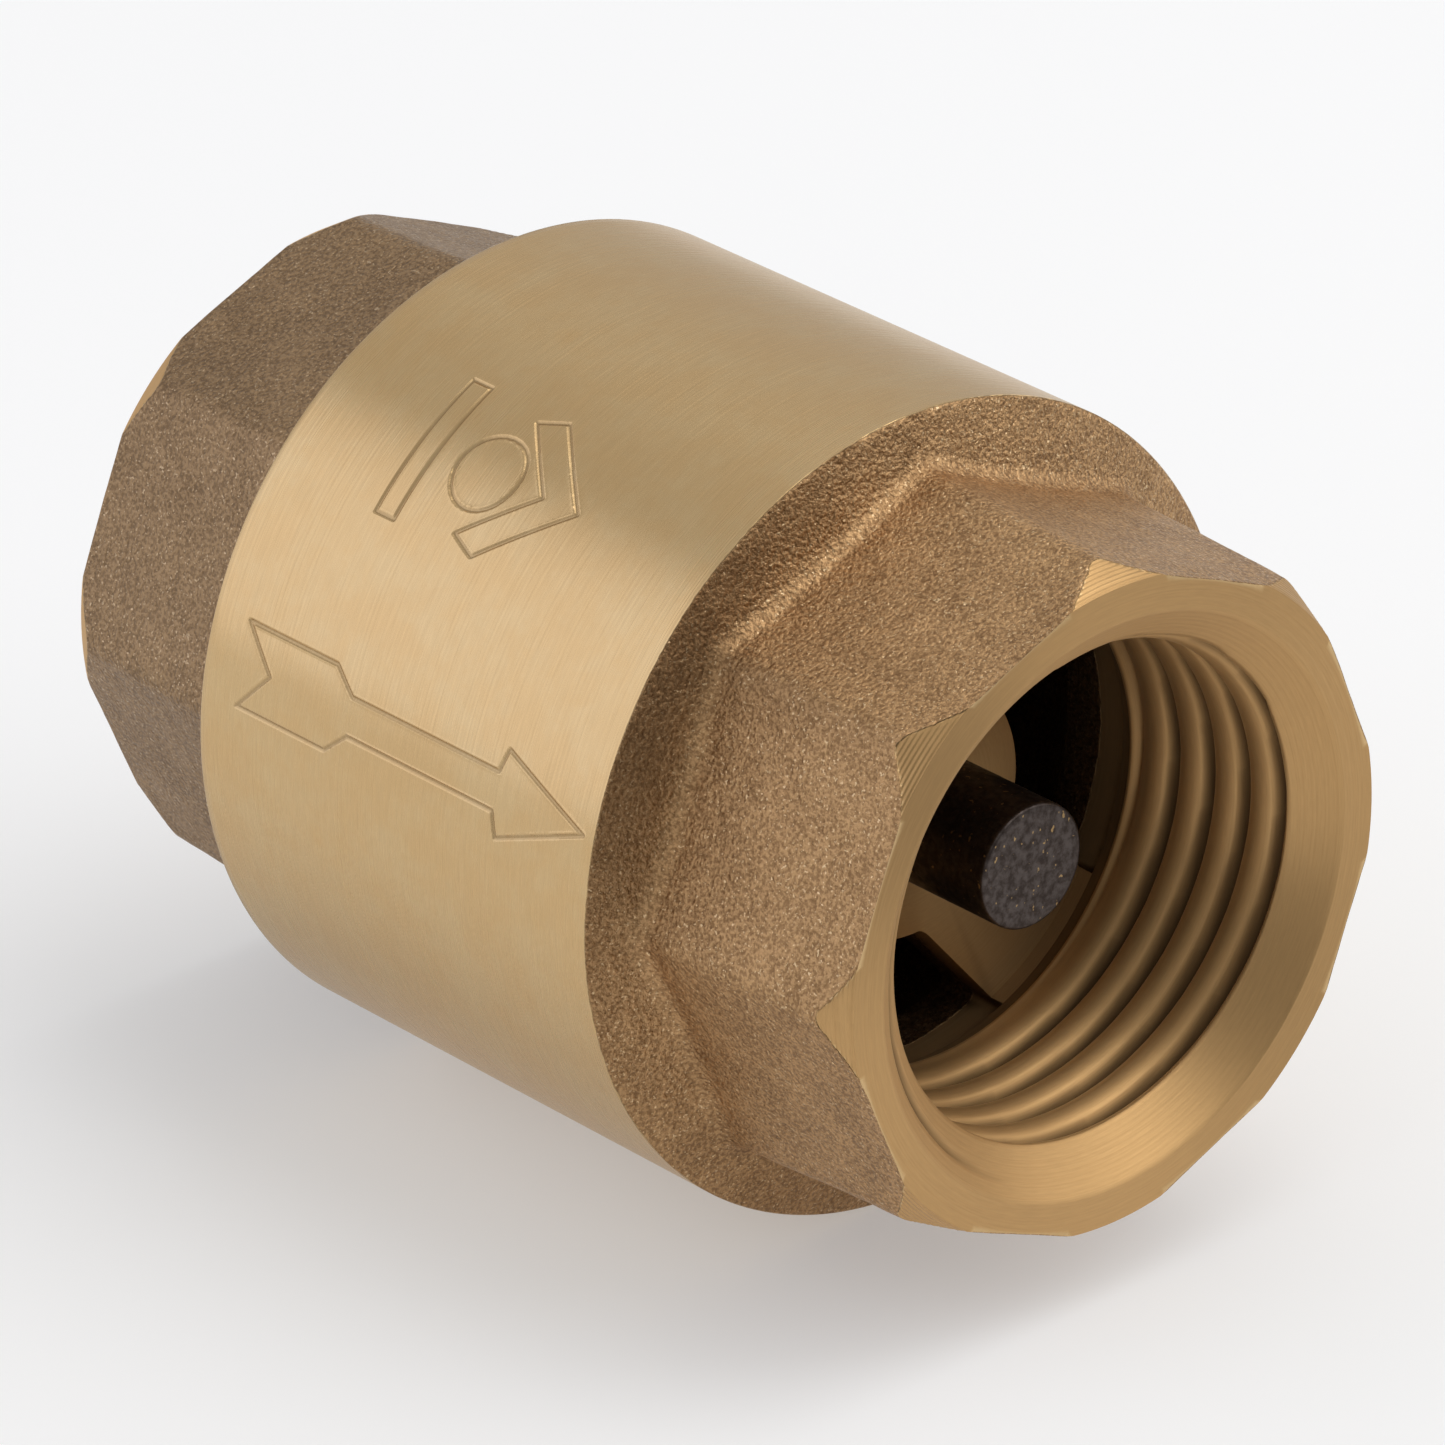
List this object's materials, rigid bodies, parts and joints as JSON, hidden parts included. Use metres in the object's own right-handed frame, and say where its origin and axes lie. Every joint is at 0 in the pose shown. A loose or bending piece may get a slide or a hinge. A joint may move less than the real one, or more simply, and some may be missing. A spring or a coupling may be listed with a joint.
{
  "type": "check valve",
  "caption": "In-line brass spring check valve with an octagonal threaded port at each end, a turned shell, and a poppet whose stem slides in a spider.",
  "frame": {"origin": "centre of the inlet port at the inlet end face", "axes": "+X along the flow, from inlet to outlet; a corner of each octagon points along +Z"},
  "size_m": [0.0425, 0.031, 0.031],
  "materials": {
    "turned_brass": "satin, turned and brushed",
    "cast_brass": "grainy as cast",
    "dark_brass": "oxidised drawn rod",
    "nitrile": "matt black",
    "spring_steel": "bright stainless"
  },
  "bodies": {
    "housing": {"outlet_body": "turned_brass", "inlet_cap": "cast_brass", "body_o_ring": "nitrile", "closing_spring": "spring_steel", "spring_washer": "spring_steel"},
    "poppet": {"valve_stem": "dark_brass", "poppet_disc": "turned_brass", "poppet_seal": "nitrile", "seal_retainer": "turned_brass", "lock_washer": "spring_steel", "stem_nut": "spring_steel"}
  },
  "joints": [
    {"name": "poppet_slide", "type": "slide", "parent": "housing", "child": "poppet", "axis": [1, 0, 0], "range_m": [0, 0.0035], "stiffness_N_per_m": 340, "springref_m": -0.0015, "deforming": ["closing_spring"]}
  ]
}
